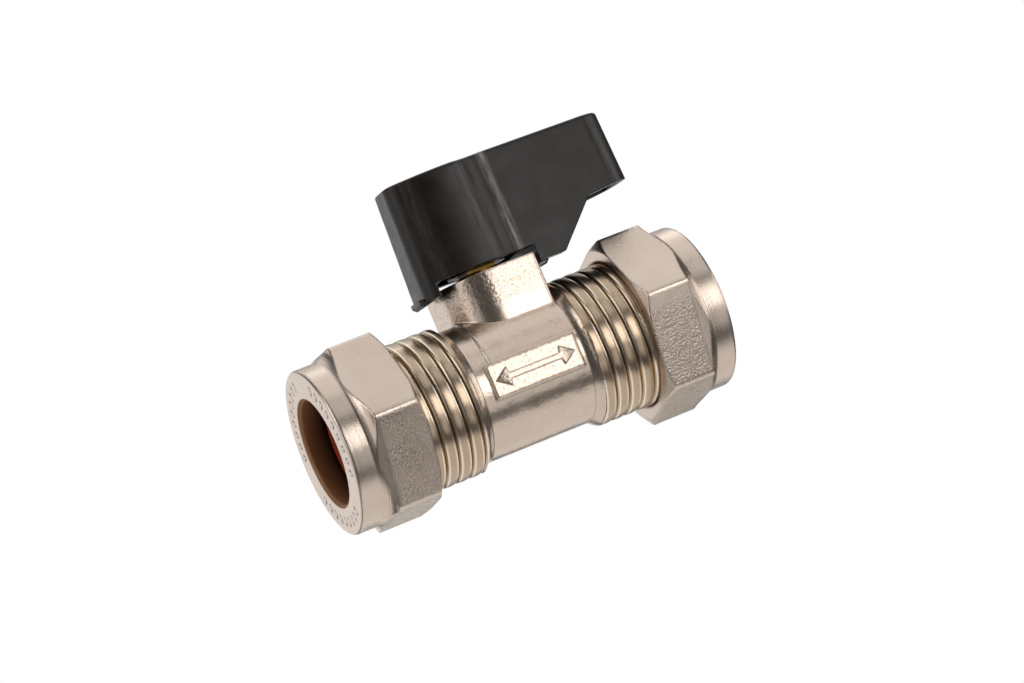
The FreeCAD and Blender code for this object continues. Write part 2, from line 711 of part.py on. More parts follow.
def build_lever():
    body = new_body("lever", SPINDLE_X)
    tab = dim("boss_width") / 2 + dim("tab_gap")
    hook = dim("boss_width") / 2 + dim("hook_gap")
    # Drafted block from the foot of the hook to the top of the heel
    foot = new_sketch(body, "foot", "XY_Plane", HOOK_BOTTOM)
    draw_loop(foot, lever_outline(0))
    crown = new_sketch(body, "crown", "XY_Plane", LEVER_TOP_BACK)
    draw_loop(crown, lever_outline(1))
    block = body.newObject("PartDesign::AdditiveLoft", "lever_block")
    block.Profile = foot
    block.Sections = [crown]
    block.Ruled = True
    doc.recompute()
    # Underside: heel tab and front hook reach down past the boss, the paddle lifts clear of the nut
    trim_width = dim("ridge_back_half") * 3
    behind = -dim("lever_back") * 2
    ahead = dim("lever_tip") * 2
    raised(body, "underside", "XZ_Plane", [[
        (behind, ZERO),
        (ahead, ZERO),
        (ahead, BOSS_TOP + dim("paddle_tip_rise")),
        (dim("lever_tip"), BOSS_TOP + dim("paddle_tip_rise")),
        (dim("paddle_start"), BOSS_TOP + dim("paddle_rise")),
        (dim("skirt_end"), SKIRT_BOTTOM),
        (dim("hook_end"), SKIRT_BOTTOM),
        (dim("hook_end"), HOOK_BOTTOM),
        (hook, HOOK_BOTTOM),
        (hook, LEVER_FLOOR),
        (-tab, LEVER_FLOOR),
        (-tab, TAB_BOTTOM),
        (behind, TAB_BOTTOM),
    ]], trim_width, cut=True, both=True)
    raised(body, "top_slope", "XZ_Plane", [[
        (-dim("lever_back"), LEVER_TOP_BACK),
        (dim("lever_tip"), LEVER_TOP_TIP),
        (ahead, LEVER_TOP_TIP),
        (ahead, LEVER_TOP_BACK * 2),
        (-dim("lever_back"), LEVER_TOP_BACK * 2),
    ]], trim_width, cut=True, both=True)
    slope = (LEVER_TOP_BACK - LEVER_TOP_TIP).value
    dressed(body, "Fillet", "top_edge", dim("lever_edge_round"), lambda edge: (
        edge.BoundBox.ZMin > LEVER_TOP_TIP.value - 0.01 and edge.BoundBox.ZLength < slope
    ))
    # Small moulding nib across the foot of the heel
    nib_floor = TAB_BOTTOM - dim("nib_drop")
    nib = [
        (-dim("lever_back") - dim("nib_reach"), nib_floor + dim("nib_drop")),
        (-dim("lever_back"), nib_floor),
        (-tab, TAB_BOTTOM),
        (-tab, nib_floor + dim("nib_height")),
        (-dim("lever_back") - dim("nib_reach"), nib_floor + dim("nib_height")),
    ]
    raised(body, "heel_nib", "XZ_Plane", [nib], dim("nib_width"), both=True)
    # Hollow underside: round the spindle post, and along the paddle
    post_r = dim("socket_post_dia") / 2
    hub_width = (dim("ridge_front_half") - dim("lever_wall")) * 2
    hub_hollow = rectangle(dim("boss_width"), hub_width)
    hub_depth = ROOF_FLOOR - LEVER_FLOOR
    raised(body, "hub_hollow", "XY_Plane", [hub_hollow, (ZERO, ZERO, post_r)], hub_depth,
           lift=LEVER_FLOOR, cut=True, flip=True)
    hollow_start = hook + dim("lever_wall")
    hollow_end = dim("lever_tip") - dim("lever_wall")
    hollow = rectangle(
        hollow_end - hollow_start,
        (dim("paddle_half") - dim("lever_wall")) * 2,
        (hollow_start + hollow_end) / 2,
    )
    raised(body, "paddle_hollow", "XY_Plane", [hollow], ROOF_FLOOR, cut=True, flip=True)
    # Square socket, screw way and screw recess on the spindle axis
    socket_side = dim("spindle_square") + dim("square_gap") * 2
    socket = rectangle(socket_side, socket_side)
    raised(body, "socket", "XY_Plane", [socket], SPINDLE_TIP + dim("square_gap"), cut=True, flip=True)
    way_r = dim("screw_dia") / 2 + dim("screw_way_gap")
    raised(body, "screw_way", "XY_Plane", [(ZERO, ZERO, way_r)], LEVER_TOP_BACK, cut=True, flip=True)
    recess_r = dim("screw_head_dia") / 2 + dim("screw_recess_gap")
    recess_depth = LEVER_TOP_BACK - SCREW_SEAT
    raised(body, "screw_recess", "XY_Plane", [(ZERO, ZERO, recess_r)], recess_depth,
           lift=SCREW_SEAT, cut=True, flip=True)
    return body


def build_lever_screw():
    body = new_body("lever_screw", SPINDLE_X)
    head_r = dim("screw_head_dia") / 2
    shank_r = dim("screw_dia") / 2
    head_top = SCREW_SEAT + dim("screw_head_height")
    crown_r = head_r - dim("screw_head_height") / 2
    turned(body, "screw", [
        (ZERO, SCREW_SEAT - dim("screw_length")),
        (shank_r, SCREW_SEAT - dim("screw_length")),
        (shank_r, SCREW_SEAT),
        (head_r, SCREW_SEAT),
        (head_r, head_top - dim("screw_head_height") / 2, dim("screw_head_height") / 2, 1),
        (crown_r, head_top),
        (ZERO, head_top),
    ], axis="V_Axis")
    arm = dim("cross_length"), dim("cross_width")
    for name, slot in (("cross_a", rectangle(*arm)), ("cross_b", rectangle(*reversed(arm)))):
        raised(body, name, "XY_Plane", [slot], dim("cross_depth"), lift=head_top, cut=True)
    return body


pieces = [
    build_valve_body(),
    build_nut("left_nut", 1, LEFT_NUT_X, dim("left_nut_turn")),
    build_nut("right_nut", -1, RIGHT_NUT_X, dim("right_nut_turn")),
    build_olive("left_olive", 1, LEFT_NUT_X),
    build_olive("right_olive", -1, RIGHT_NUT_X),
    build_ball(),
    build_seat("left_seat", -1),
    build_seat("right_seat", 1),
    build_retainer(),
    build_spindle(),
    build_seal_ring("lower_seal_ring", RING_LOW),
    build_seal_ring("upper_seal_ring", RING_HIGH),
    build_washer(),
    build_gland(),
    build_lever(),
    build_lever_screw(),
]

doc.recompute()
os.makedirs("parts", exist_ok=True)
for thing in doc.Objects:
    if "Invalid" in thing.State or "Error" in thing.State:
        raise RuntimeError(f"{thing.Name} did not build")
for piece in pieces:
    if piece.Shape.isNull() or not piece.Shape.isValid():
        raise RuntimeError(f"{piece.Label} is not a sound solid")
    piece.Shape.exportStep(f"parts/{piece.Label}.step")
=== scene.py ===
import bpy
import math
from mathutils import Matrix, Vector


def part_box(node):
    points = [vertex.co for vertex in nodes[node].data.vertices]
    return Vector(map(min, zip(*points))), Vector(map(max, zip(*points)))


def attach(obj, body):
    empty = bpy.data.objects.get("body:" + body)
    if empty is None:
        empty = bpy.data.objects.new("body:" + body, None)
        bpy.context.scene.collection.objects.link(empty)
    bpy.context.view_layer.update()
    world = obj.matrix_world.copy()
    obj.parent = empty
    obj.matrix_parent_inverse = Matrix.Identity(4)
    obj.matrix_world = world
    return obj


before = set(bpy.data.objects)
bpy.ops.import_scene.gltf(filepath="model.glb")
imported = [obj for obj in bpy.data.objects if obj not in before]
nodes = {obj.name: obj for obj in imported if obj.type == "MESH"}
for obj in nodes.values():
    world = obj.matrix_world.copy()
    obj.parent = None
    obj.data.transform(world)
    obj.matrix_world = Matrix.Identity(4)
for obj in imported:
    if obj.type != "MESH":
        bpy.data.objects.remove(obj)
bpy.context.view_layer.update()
bpy.ops.object.select_all(action="DESELECT")
scene = bpy.context.scene
scene.view_settings.view_transform = "Standard"

MM = 0.001

# Along the pipe, from the frame
LEFT_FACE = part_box("left_nut")[0][0]
RIGHT_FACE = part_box("right_nut")[1][0]
PIPE_MID = (LEFT_FACE + RIGHT_FACE) / 2
HALF_LENGTH = (RIGHT_FACE - LEFT_FACE) / 2
LEFT_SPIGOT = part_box("valve_body")[0][0]
RIGHT_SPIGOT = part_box("valve_body")[1][0]

# Body: half the barrel, the boss's foot above the axis, the raised flat's face and its middle along it
BARREL_HALF = 9.25 * MM
LEFT_SHOULDER = PIPE_MID - BARREL_HALF
RIGHT_SHOULDER = PIPE_MID + BARREL_HALF
BOSS_FOOT = 9.6 * MM
PAD_FACE = 10.0 * MM
PAD_MID = 8.6 * MM

# Nuts: where the turned collar starts, from the valve's middle, and the edge of the pipe's bore
COLLAR_START = HALF_LENGTH - 5.3 * MM
BORE_EDGE = 8.1 * MM

# Pips round a nut's end face: groups of nine steps with a pip each and three without
PIP_RING = 10.0 * MM
PIP_RISE = 0.25 * MM
PIP_WIDE = 0.62 * MM
PIP_TALL = 0.95 * MM
PIP_STEP = math.radians(10)
PIPS_IN_GROUP = 9
STEPS_IN_GROUP = 12

# Thread: the left half of a turn's section, as (mm across from its middle, mm below the crest)
THREAD_PITCH = 2.0 * MM
THREAD_CREST = 10.75 * MM
THREAD_FORM = [(-0.99, 0.8), (-0.99, 0.37), (-0.74, 0.09), (-0.66, 0.05), (-0.4, 0.015), (-0.15, 0.0)]
TURN_STEPS = 96

# Where the middle of a turn passes the front on each spigot, and the bare rim at a spigot's end
LEFT_TURN = -4.93 * MM
RIGHT_TURN = 23.83 * MM
SPIGOT_RIM = 0.1 * MM

# Run-out of the thread, as (mm from the barrel's shoulder, mm of radius)
RUN_OUT_FORM = [(-1.3, 9.6), (-1.3, 9.74), (-0.8, 9.86), (-0.4, 10.1),
                (-0.1, 10.4), (0.1, 10.53), (0.35, 10.55), (0.35, 9.9)]

# Flow arrow on the raised flat; its points keep a small share of the heads' width
ARROW_SHAFT = 3.9 * MM
ARROW_THICK = 1.0 * MM
ARROW_BARB = 0.2 * MM
ARROW_HEAD = 2.9 * MM
ARROW_POINT = 2.0 * MM
ARROW_BLUNT = 0.06
ARROW_RISE = 0.22 * MM
ARROW_SUNK = 0.05 * MM
ARROW_EDGE = 0.07 * MM

# Faces that meet at less than this angle are shaded as one smooth surface
TURNED_SMOOTH = math.radians(40)
ARROW_SMOOTH = math.radians(20)

# Pale lines down the lever's front, as (place along the pipe, reach to each side, strength): the first
# is a rubbed line, the others are painted sheen on the hub's curves and a painted highlight near the tip
RUBBED_AND_SHEEN_LINES = ((14.5 * MM, 0.9 * MM, 1.0), (11.2 * MM, 2.6 * MM, 0.16),
                (2.8 * MM, 1.8 * MM, 0.12), (32.4 * MM, 1.6 * MM, 0.14))


def linear(code):
    """An sRGB hex colour as linear RGBA."""
    channels = [int(code[i:i + 2], 16) / 255 for i in (1, 3, 5)]
    return [c / 12.92 if c <= 0.04045 else ((c + 0.055) / 1.055) ** 2.4 for c in channels] + [1.0]


def plug(tree, node, inputs):
    """Set or link a node's inputs: each value is an output socket or a plain value."""
    for key, value in inputs.items():
        if isinstance(value, bpy.types.NodeSocket):
            tree.links.new(value, node.inputs[key])
        else:
            node.inputs[key].default_value = value


def add(tree, kind, inputs=None, out=0, **settings):
    """Add a shader node with its settings and inputs, and give one of its output sockets."""
    node = tree.nodes.new(kind)
    for name, value in settings.items():
        setattr(node, name, value)
    plug(tree, node, inputs or {})
    return node.outputs[out]


def material(name):
    """A new node material: itself, its tree, its shader, and the place of each point in the frame."""
    made = bpy.data.materials.new(name)
    made.use_nodes = True
    tree = made.node_tree
    place = add(tree, "ShaderNodeTexCoord", out="Object")
    return made, tree, tree.nodes["Principled BSDF"], place


def paint(mat, *names):
    """Give CAD nodes a material."""
    for name in names:
        data = nodes[name].data
        data.materials.clear()
        data.materials.append(mat)


def radius_of(tree, place):
    """Distance from the pipe axis."""
    across = add(tree, "ShaderNodeVectorMath", {0: place, 1: (0, 1, 1)}, operation="MULTIPLY")
    return add(tree, "ShaderNodeVectorMath", {0: across}, out="Value", operation="LENGTH")


def away_from_middle(tree, x):
    """Distance along the pipe from the valve's middle."""
    shift = add(tree, "ShaderNodeMath", {0: x, 1: PIPE_MID}, operation="SUBTRACT")
    return add(tree, "ShaderNodeMath", {0: shift}, operation="ABSOLUTE")


def rounded_edges(tree, radius):
    """The normal rounded over sharp edges, and a mask that is 1 on those edges."""
    soft = add(tree, "ShaderNodeBevel", {"Radius": radius}, samples=12)
    true = add(tree, "ShaderNodeNewGeometry", out="Normal")
    turn = add(tree, "ShaderNodeVectorMath", {0: soft, 1: true}, out="Value", operation="DOT_PRODUCT")
    return soft, add(tree, "ShaderNodeMapRange", {"Value": turn, "From Min": 0.9, "From Max": 0.6})


def body_plate():
    """Nickel plate on forged brass.

    Warm grey metal with slightly wavering reflections, and pale edges that are partly wear and partly
    painted highlight. The boss and the raised flat keep the grain of the forging, and on the spigots
    the plate is thin and more golden.
    """
    rounding = 0.4 * MM
    # Grain and waves are as coarse as the photograph shows them
    grain_size, grain_height = 0.4 * MM, 0.1 * MM
    wave_size, wave_height = 4 * MM, 0.25 * MM
    boss_full = BOSS_FOOT + 0.8 * MM
    pad_start, pad_full = 0.25 * MM - PAD_FACE, 0.1 * MM - PAD_FACE
    spigot_start, spigot_full = BARREL_HALF + 0.2 * MM, BARREL_HALF + 1.0 * MM

    mat, tree, shader, place = material("nickel plate on forged brass")
    x, y, z = [add(tree, "ShaderNodeSeparateXYZ", {0: place}, out=k) for k in range(3)]
    soft, edge = rounded_edges(tree, rounding)
    boss = add(tree, "ShaderNodeMapRange", {"Value": z, "From Min": BOSS_FOOT, "From Max": boss_full})
    pad = add(tree, "ShaderNodeMapRange", {"Value": y, "From Min": pad_start, "From Max": pad_full})
    forged = add(tree, "ShaderNodeMath", {0: boss, 1: pad}, operation="MAXIMUM")
    grain = add(tree, "ShaderNodeMapRange", {"Value": forged, "To Min": 0.12, "To Max": 0.6})
    peel = add(tree, "ShaderNodeTexNoise", {"Vector": place, "Scale": 1 / grain_size, "Detail": 3.0})
    bump = add(tree, "ShaderNodeBump", {"Height": peel, "Normal": soft, "Strength": grain,
                                        "Distance": grain_height})
    cloud = add(tree, "ShaderNodeTexNoise", {"Vector": place, "Scale": 1 / wave_size, "Detail": 3.0})
    bump = add(tree, "ShaderNodeBump", {"Height": cloud, "Normal": bump, "Strength": 0.6,
                                        "Distance": wave_height})

    tone = add(tree, "ShaderNodeMix", {0: cloud, 6: linear("#c9b6a5"), 7: linear("#dccbbd")}, out=2,
               data_type="RGBA")
    pit = add(tree, "ShaderNodeMapRange", {"Value": peel, "From Min": 0.52, "From Max": 0.32})
    pit = add(tree, "ShaderNodeMath", {0: pit, 1: grain}, operation="MULTIPLY")
    pitted = add(tree, "ShaderNodeMix", {0: pit, 6: tone, 7: linear("#a89886")}, out=2, data_type="RGBA")
    # Pale on sharp edges: partly wear, partly a painted highlight of the rounded edge
    worn_and_highlit = add(tree, "ShaderNodeMix", {0: edge, 6: pitted, 7: linear("#e6dbd0")}, out=2, data_type="RGBA")
    away = away_from_middle(tree, x)
    spigot = add(tree, "ShaderNodeMapRange", {"Value": away, "From Min": spigot_start,
                                              "From Max": spigot_full})
    golden = add(tree, "ShaderNodeMix", {0: cloud, 6: linear("#c8ac86"), 7: linear("#d8c4a8")}, out=2,
                 data_type="RGBA")
    colour = add(tree, "ShaderNodeMix", {0: spigot, 6: worn_and_highlit, 7: golden}, out=2, data_type="RGBA")
    shine = add(tree, "ShaderNodeMapRange", {"Value": cloud, "To Min": 0.2, "To Max": 0.32})
    plug(tree, shader, {"Base Color": colour, "Metallic": 1.0, "Roughness": shine, "Normal": bump})
    return mat


def end_pips(tree, y, z, radius, away):
    """Height of the pips on a nut's end face, from 0 to 1.

    They are relief in the material, because that face is the end of the CAD box.
    """
    face_start = HALF_LENGTH - 0.05 * MM
    angle = add(tree, "ShaderNodeMath", {0: z, 1: y}, operation="ARCTAN2")
    count = add(tree, "ShaderNodeMath", {0: angle, 1: PIP_STEP}, operation="DIVIDE")
    step = add(tree, "ShaderNodeMath", {0: count, 1: 0.0, 2: 1.0}, operation="WRAP")
    aside = add(tree, "ShaderNodeMath", {0: step, 1: 0.5}, operation="SUBTRACT")
    aside = add(tree, "ShaderNodeMath", {0: aside, 1: PIP_STEP * PIP_RING / PIP_WIDE},
                operation="MULTIPLY")
    outward = add(tree, "ShaderNodeMath", {0: radius, 1: PIP_RING}, operation="SUBTRACT")
    outward = add(tree, "ShaderNodeMath", {0: outward, 1: PIP_TALL}, operation="DIVIDE")
    spot = add(tree, "ShaderNodeCombineXYZ", {0: aside, 1: outward})
    reach = add(tree, "ShaderNodeVectorMath", {0: spot}, out="Value", operation="LENGTH")
    pip = add(tree, "ShaderNodeMapRange", {"Value": reach, "From Min": 1.0, "From Max": 0.3},
              interpolation_type="SMOOTHSTEP")
    turn = add(tree, "ShaderNodeMath", {0: count, 1: 0.0, 2: STEPS_IN_GROUP}, operation="WRAP")
    group = add(tree, "ShaderNodeMath", {0: turn, 1: PIPS_IN_GROUP}, operation="LESS_THAN")
    face = add(tree, "ShaderNodeMath", {0: away, 1: face_start}, operation="GREATER_THAN")
    pip = add(tree, "ShaderNodeMath", {0: pip, 1: group}, operation="MULTIPLY")
    return add(tree, "ShaderNodeMath", {0: pip, 1: face}, operation="MULTIPLY")


def nut_plate():
    """Nickel plate on a hot-pressed nut.

    The same warm grey metal, with pale edges that are partly wear and partly painted highlight. The
    flats are grainy, less so on the upper ones, the collar has fine turning marks, the end face has
    pips, and the bore is dull brown brass with painted shade that darkens it inwards.
    """
    rounding = 0.5 * MM
    # The turning marks are drawn coarser than the real ones, so that they show
    grain_size, mark_size, relief = 0.3 * MM, 0.12 * MM, 0.1 * MM
    cloud_size = 4 * MM
    collar_full = COLLAR_START + 0.6 * MM
    coarse_below, smooth_above = -0.5 * MM, 1.5 * MM
    bore_full = BORE_EDGE - 0.12 * MM
    # Painted shade in the bore: where it starts, behind the mouth, and where it is full, deeper in
    shade_start, shade_full = HALF_LENGTH - 0.8 * MM, HALF_LENGTH - 3.4 * MM

    mat, tree, shader, place = material("nickel plate on pressed brass")
    x, y, z = [add(tree, "ShaderNodeSeparateXYZ", {0: place}, out=k) for k in range(3)]
    radius = radius_of(tree, place)
    away = away_from_middle(tree, x)
    soft, edge = rounded_edges(tree, rounding)
    collar = add(tree, "ShaderNodeMapRange", {"Value": away, "From Min": COLLAR_START,
                                              "From Max": collar_full})
    peel = add(tree, "ShaderNodeTexNoise", {"Vector": place, "Scale": 1 / grain_size, "Detail": 3.0})
    turning = add(tree, "ShaderNodeTexNoise", {"W": x, "Scale": 1 / mark_size, "Detail": 2.0},
                  noise_dimensions="1D")
    height = add(tree, "ShaderNodeMix", {0: collar, 2: peel, 3: turning})
    flats = add(tree, "ShaderNodeMapRange", {"Value": z, "From Min": coarse_below,
                                             "From Max": smooth_above, "To Min": 1.0, "To Max": 0.35})
    grain = add(tree, "ShaderNodeMix", {0: collar, 2: flats, 3: 0.25})
    bump = add(tree, "ShaderNodeBump", {"Height": height, "Normal": soft, "Strength": grain,
                                        "Distance": relief})
    pips = end_pips(tree, y, z, radius, away)
    bump = add(tree, "ShaderNodeBump", {"Height": pips, "Normal": bump, "Distance": PIP_RISE})

    cloud = add(tree, "ShaderNodeTexNoise", {"Vector": place, "Scale": 1 / cloud_size, "Detail": 3.0})
    tone = add(tree, "ShaderNodeMix", {0: cloud, 6: linear("#c9b7a7"), 7: linear("#dcccbf")}, out=2,
               data_type="RGBA")
    pit = add(tree, "ShaderNodeMapRange", {"Value": peel, "From Min": 0.55, "From Max": 0.3})
    pitting = add(tree, "ShaderNodeMapRange", {"Value": collar, "To Min": 0.12, "To Max": 0.0})
    pit = add(tree, "ShaderNodeMath", {0: pit, 1: pitting}, operation="MULTIPLY")
    pitted = add(tree, "ShaderNodeMix", {0: pit, 6: tone, 7: linear("#a89886")}, out=2, data_type="RGBA")
    # Pale on sharp edges: partly wear, partly a painted highlight of the rounded edge
    worn_and_highlit = add(tree, "ShaderNodeMix", {0: edge, 6: pitted, 7: linear("#e6dbd0")}, out=2, data_type="RGBA")
    bore = add(tree, "ShaderNodeMapRange", {"Value": radius, "From Min": BORE_EDGE, "From Max": bore_full})
    shade_inward = add(tree, "ShaderNodeMapRange", {"Value": away, "From Min": shade_start, "From Max": shade_full})
    bored = add(tree, "ShaderNodeMix", {0: turning, 6: linear("#74492a"), 7: linear("#c08c5c")}, out=2,
                data_type="RGBA")
    # Painted shade: near black deeper in the bore
    shaded_bore = add(tree, "ShaderNodeMix", {0: shade_inward, 6: bored, 7: linear("#2c1c12")}, out=2, data_type="RGBA")
    colour = add(tree, "ShaderNodeMix", {0: bore, 6: worn_and_highlit, 7: shaded_bore}, out=2, data_type="RGBA")
    metal = add(tree, "ShaderNodeMapRange", {"Value": bore, "To Min": 1.0, "To Max": 0.3})
    shine = add(tree, "ShaderNodeMapRange", {"Value": cloud, "To Min": 0.22, "To Max": 0.34})
    shine = add(tree, "ShaderNodeMix", {0: bore, 2: shine, 3: 0.55})
    plug(tree, shader, {"Base Color": colour, "Metallic": metal, "Roughness": shine, "Normal": bump})
    return mat


def thread_plate():
    """Thin nickel plate on a cut thread.

    Golden beige turns with fine turning marks, a painted highlight along the lip of each edge and
    browner grooves.
    """
    groove_top, turn_foot = THREAD_CREST - 0.3 * MM, THREAD_CREST - 0.15 * MM
    # The painted highlight on each lip: its radius, how far it reaches, and where it is full
    highlight_radius, highlight_reach, highlight_full = THREAD_CREST - 0.07 * MM, 0.05 * MM, 0.02 * MM
    # The marks are drawn coarser than the real ones, so that they show
    mark_size, mark_height, cloud_size = 0.1 * MM, 0.03 * MM, 2.5 * MM

    mat, tree, shader, place = material("nickel plate on cut brass")
    x = add(tree, "ShaderNodeSeparateXYZ", {0: place})
    radius = radius_of(tree, place)
    rise = add(tree, "ShaderNodeMapRange", {"Value": radius, "From Min": groove_top,
                                            "From Max": turn_foot})
    off_highlight = add(tree, "ShaderNodeMath", {0: radius, 1: highlight_radius}, operation="SUBTRACT")
    off_highlight = add(tree, "ShaderNodeMath", {0: off_highlight}, operation="ABSOLUTE")
    lip_highlight = add(tree, "ShaderNodeMapRange", {"Value": off_highlight, "From Min": highlight_reach, "From Max": highlight_full})
    cloud = add(tree, "ShaderNodeTexNoise", {"Vector": place, "Scale": 1 / cloud_size, "Detail": 3.0})
    turns = add(tree, "ShaderNodeMix", {0: cloud, 6: linear("#b0987e"), 7: linear("#c8b29a")}, out=2,
                data_type="RGBA")
    cut = add(tree, "ShaderNodeMix", {0: rise, 6: linear("#ae8f64"), 7: turns}, out=2, data_type="RGBA")
    # Near white on the lips: a painted highlight
    colour = add(tree, "ShaderNodeMix", {0: lip_highlight, 6: cut, 7: linear("#efe4d6")}, out=2, data_type="RGBA")
    marks = add(tree, "ShaderNodeTexNoise", {"W": x, "Scale": 1 / mark_size, "Detail": 2.0},
                noise_dimensions="1D")
    bump = add(tree, "ShaderNodeBump", {"Height": marks, "Strength": 0.35, "Distance": mark_height})
    shine = add(tree, "ShaderNodeMapRange", {"Value": cloud, "To Min": 0.18, "To Max": 0.32})
    plug(tree, shader, {"Base Color": colour, "Metallic": 1.0, "Roughness": shine, "Normal": bump})
    return mat


def lever_plastic():
    """Moulded black nylon: satin sheen, faint moulding texture, a pale rubbed line, scuffed edges, and
    painted sheen and highlight as pale lines on the hub, near the tip and along the edges.
    """
    rounding = 0.35 * MM
    cloud_size, scuff_size, streak_size = 3 * MM, 0.6 * MM, 0.5 * MM
    # The moulding texture is drawn coarser than the real one, so that it shows
    texture_size, texture_height = 0.3 * MM, 0.03 * MM
    # The lines run down the lever, and only on its front
    streak_stretch = (1, 1, 0.12)
    front_start, front_full = -2.5 * MM, -4 * MM

    mat, tree, shader, place = material("moulded black nylon")
    x, y = [add(tree, "ShaderNodeSeparateXYZ", {0: place}, out=k) for k in range(2)]
    soft, edge = rounded_edges(tree, rounding)
    cloud = add(tree, "ShaderNodeTexNoise", {"Vector": place, "Scale": 1 / cloud_size, "Detail": 3.0})
    fine = add(tree, "ShaderNodeTexNoise", {"Vector": place, "Scale": 1 / texture_size, "Detail": 3.0})
    bump = add(tree, "ShaderNodeBump", {"Height": fine, "Normal": soft, "Strength": 0.15,
                                        "Distance": texture_height})
    tone = add(tree, "ShaderNodeMix", {0: cloud, 6: linear("#150f0b"), 7: linear("#261d17")}, out=2,
               data_type="RGBA")
    patch = add(tree, "ShaderNodeTexNoise", {"Vector": place, "Scale": 1 / scuff_size, "Detail": 3.0})
    broken = add(tree, "ShaderNodeMapRange", {"Value": patch, "From Min": 0.45, "From Max": 0.7})
    # Scuffed edges, partly a painted highlight too, broken up by a patchy noise
    rubbed_and_sheen = add(tree, "ShaderNodeMath", {0: edge, 1: broken}, operation="MULTIPLY")
    drawn = add(tree, "ShaderNodeMapping", {"Vector": place, "Scale": streak_stretch})
    streak = add(tree, "ShaderNodeTexNoise", {"Vector": drawn, "Scale": 1 / streak_size, "Detail": 3.0})
    faint = add(tree, "ShaderNodeMapRange", {"Value": streak, "From Min": 0.3, "From Max": 0.7})
    front = add(tree, "ShaderNodeMapRange", {"Value": y, "From Min": front_start, "From Max": front_full})
    for middle, reach, strength in RUBBED_AND_SHEEN_LINES:
        off = add(tree, "ShaderNodeMath", {0: x, 1: middle}, operation="SUBTRACT")
        near = add(tree, "ShaderNodeMath", {0: off}, operation="ABSOLUTE")
        line = add(tree, "ShaderNodeMapRange", {"Value": near, "From Min": reach, "From Max": 0.0,
                                                "To Max": strength})
        line = add(tree, "ShaderNodeMath", {0: line, 1: faint}, operation="MULTIPLY")
        line = add(tree, "ShaderNodeMath", {0: line, 1: front}, operation="MULTIPLY")
        rubbed_and_sheen = add(tree, "ShaderNodeMath", {0: rubbed_and_sheen, 1: line}, operation="MAXIMUM")
    # Pale where rubbed or scuffed, and as painted sheen and highlight on the other lines and the edges
    colour = add(tree, "ShaderNodeMix", {0: rubbed_and_sheen, 6: tone, 7: linear("#a8a5a1")}, out=2,
                 data_type="RGBA")
    shine = add(tree, "ShaderNodeMapRange", {"Value": cloud, "To Min": 0.2, "To Max": 0.5})
    plug(tree, shader, {"Base Color": colour, "Roughness": shine, "Specular IOR Level": 0.4,
                        "Normal": bump})
    return mat


def small_part(name, dark, light, roughness, metallic, cloud_size, grain_size, grain_height,
               grain_strength):
    """A plain finish for a small part: a slight cloud in its tone and sheen, and fine grain.

    The grain is drawn coarser than the real one, so that it shows.
    """
    sheen_spread = 0.06
    mat, tree, shader, place = material(name)
    cloud = add(tree, "ShaderNodeTexNoise", {"Vector": place, "Scale": 1 / cloud_size, "Detail": 3.0})
    fine = add(tree, "ShaderNodeTexNoise", {"Vector": place, "Scale": 1 / grain_size, "Detail": 2.0})
    bump = add(tree, "ShaderNodeBump", {"Height": fine, "Strength": grain_strength,
                                        "Distance": grain_height})
    tone = add(tree, "ShaderNodeMix", {0: cloud, 6: linear(dark), 7: linear(light)}, out=2,
               data_type="RGBA")
    shine = add(tree, "ShaderNodeMapRange", {"Value": cloud, "To Min": roughness - sheen_spread,
                                             "To Max": roughness + sheen_spread})
    plug(tree, shader, {"Base Color": tone, "Metallic": metallic, "Roughness": shine, "Normal": bump})
    return mat


def bare_metal(name, dark, light, roughness, grain_size=0.3 * MM, metallic=1.0):
    """A bare, plated or polished metal."""
    return small_part(name, dark, light, roughness, metallic, cloud_size=2 * MM, grain_size=grain_size,
                      grain_height=0.03 * MM, grain_strength=0.2)


def plain_plastic(name, dark, light, roughness):
    """A moulded plastic or rubber."""
    return small_part(name, dark, light, roughness, metallic=0.0, cloud_size=1.5 * MM,
                      grain_size=0.25 * MM, grain_height=0.02 * MM, grain_strength=0.15)


plated_body = body_plate()
plated_nut = nut_plate()
plated_thread = thread_plate()
paint(plated_body, "valve_body")
paint(plated_nut, "left_nut", "right_nut")
paint(lever_plastic(), "lever")

# Soft copper: a bright, flat orange that hardly mirrors, given little of a metal's shine, as painted
# light that stands in for the light bouncing in the nut's bore
paint(bare_metal("soft copper with painted bounce light", "#e8623a", "#f87c4c", 0.5, metallic=0.15),
      "left_olive", "right_olive")

# Polished nickel plate: a bright mirror deep in the bore
paint(bare_metal("polished nickel plate", "#d4d2d0", "#e2e0de", 0.12, grain_size=0.8 * MM), "ball")

# Turned brass without plate: brownish gold in the gap under the lever, darkened below its own tone as
# painted shade
paint(bare_metal("bare turned brass darkened as painted shade", "#644a22", "#7e6230", 0.35),
      "seat_retainer", "spindle", "gland_nut")

# Zinc plate on steel: pale cool grey at the bottom of the screw's recess
paint(bare_metal("zinc plated steel", "#b9babd", "#cfd0d2", 0.35), "lever_screw")

# Moulded PTFE: waxy white
paint(plain_plastic("moulded white PTFE", "#e2dfd8", "#eeece6", 0.4),
      "left_seat", "right_seat", "spindle_washer")

# Moulded rubber: matt black
paint(plain_plastic("moulded black rubber", "#141414", "#1e1d1d", 0.65),
      "lower_seal_ring", "upper_seal_ring")


def pick_vertices(piece, wanted):
    """In edit mode, select just the vertices whose place is wanted."""
    bpy.ops.object.mode_set(mode="OBJECT")
    for vert in piece.data.vertices:
        vert.select = wanted(vert.co)
    for edge in piece.data.edges:
        edge.select = all(piece.data.vertices[k].select for k in edge.vertices)
    for face in piece.data.polygons:
        face.select = all(piece.data.vertices[k].select for k in face.vertices)
    bpy.ops.object.mode_set(mode="EDIT")


